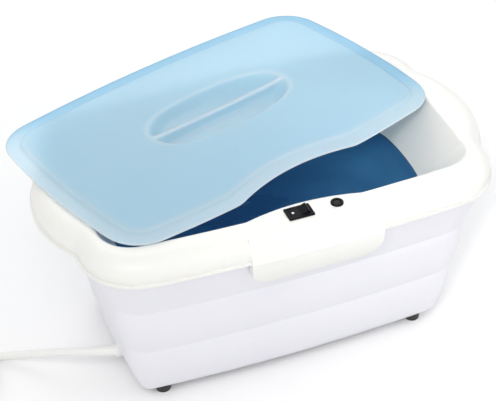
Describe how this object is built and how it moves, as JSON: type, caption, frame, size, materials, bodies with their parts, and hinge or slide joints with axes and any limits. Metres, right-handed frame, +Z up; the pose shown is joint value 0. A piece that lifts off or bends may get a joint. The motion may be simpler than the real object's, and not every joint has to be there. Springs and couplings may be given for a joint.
{
  "type": "paraffin wax bath",
  "caption": "Heated wax bath for hands and feet: white tiered tub with a blue tank, a loose frosted lid, a rocker switch and a lamp.",
  "frame": {"origin": "centre of the footprint of the tub, between the four feet, on the surface it stands on", "axes": "+X along the tub's length, away from the end where the cord leaves; +Y from the control panel to the back; +Z up"},
  "size_m": [0.6095, 0.313, 0.194],
  "materials": {
    "housing_white": "satin moulded, faintly cool white",
    "bezel_white": "satin moulded, warm white",
    "base_grey": "fine matt texture",
    "tank_blue": "dark blue baked coating, smooth gloss",
    "seal_black": "matt silicone",
    "heater_orange": "matt silicone sheet",
    "clamp_steel": "zinc plated",
    "screw_steel": "zinc plated",
    "thermostat_black": "phenolic",
    "cutoff_white": "ceramic",
    "blanket_white": "glass fibre felt",
    "switch_black": "satin",
    "brass": "plain",
    "lens_smoke": "smoked, polished",
    "bulb_clear": "clear",
    "terminal_cream": "nylon",
    "cord_white": "smooth white sheath",
    "plug_white": "satin moulded",
    "lid_frost": "frosted translucent, pale blue",
    "foot_grey": "matt"
  },
  "bodies": {
    "tub": {"outer_housing": "housing_white", "top_bezel": "bezel_white", "base_plate": "base_grey", "wax_tank": "tank_blue", "tank_seal": "seal_black", "heating_pad": "heater_orange", "heater_clamp_plate": "clamp_steel", "heater_clamp_nuts": "screw_steel", "thermostat": "thermostat_black", "thermostat_strap": "clamp_steel", "thermal_cutoff": "cutoff_white", "insulation_blanket": "blanket_white", "switch_frame": "switch_black", "switch_terminals": "brass", "lamp_body": "switch_black", "lamp_lens": "lens_smoke", "lamp_bulb": "bulb_clear", "lamp_ring_nut": "switch_black", "terminal_block": "terminal_cream", "terminal_screws": "brass", "cord_gland": "cord_white", "power_cord": "cord_white", "cord_coil": "cord_white", "cord_tail": "cord_white", "mains_plug": "plug_white", "plug_pins": "brass", "foot_screws": "screw_steel", "base_plate_screws": "screw_steel", "bezel_screws": "screw_steel", "tank_screws": "screw_steel", "foot_left_front": "foot_grey", "foot_left_back": "foot_grey", "foot_right_front": "foot_grey", "foot_right_back": "foot_grey"},
    "lid": {"lid": "lid_frost"},
    "rocker": {"switch_rocker": "switch_black", "rocker_pin": "screw_steel"}
  },
  "joints": [
    {"name": "lid_lift", "type": "slide", "parent": "tub", "child": "lid", "axis": [0, 0, 1], "range_m": [0, 0.15]},
    {"name": "rocker_tilt", "type": "hinge", "parent": "tub", "child": "rocker", "pos_m": [-0.0046, -0.0988, 0.1802], "axis": [0, 1, 0], "range_deg": [0, 22]}
  ]
}
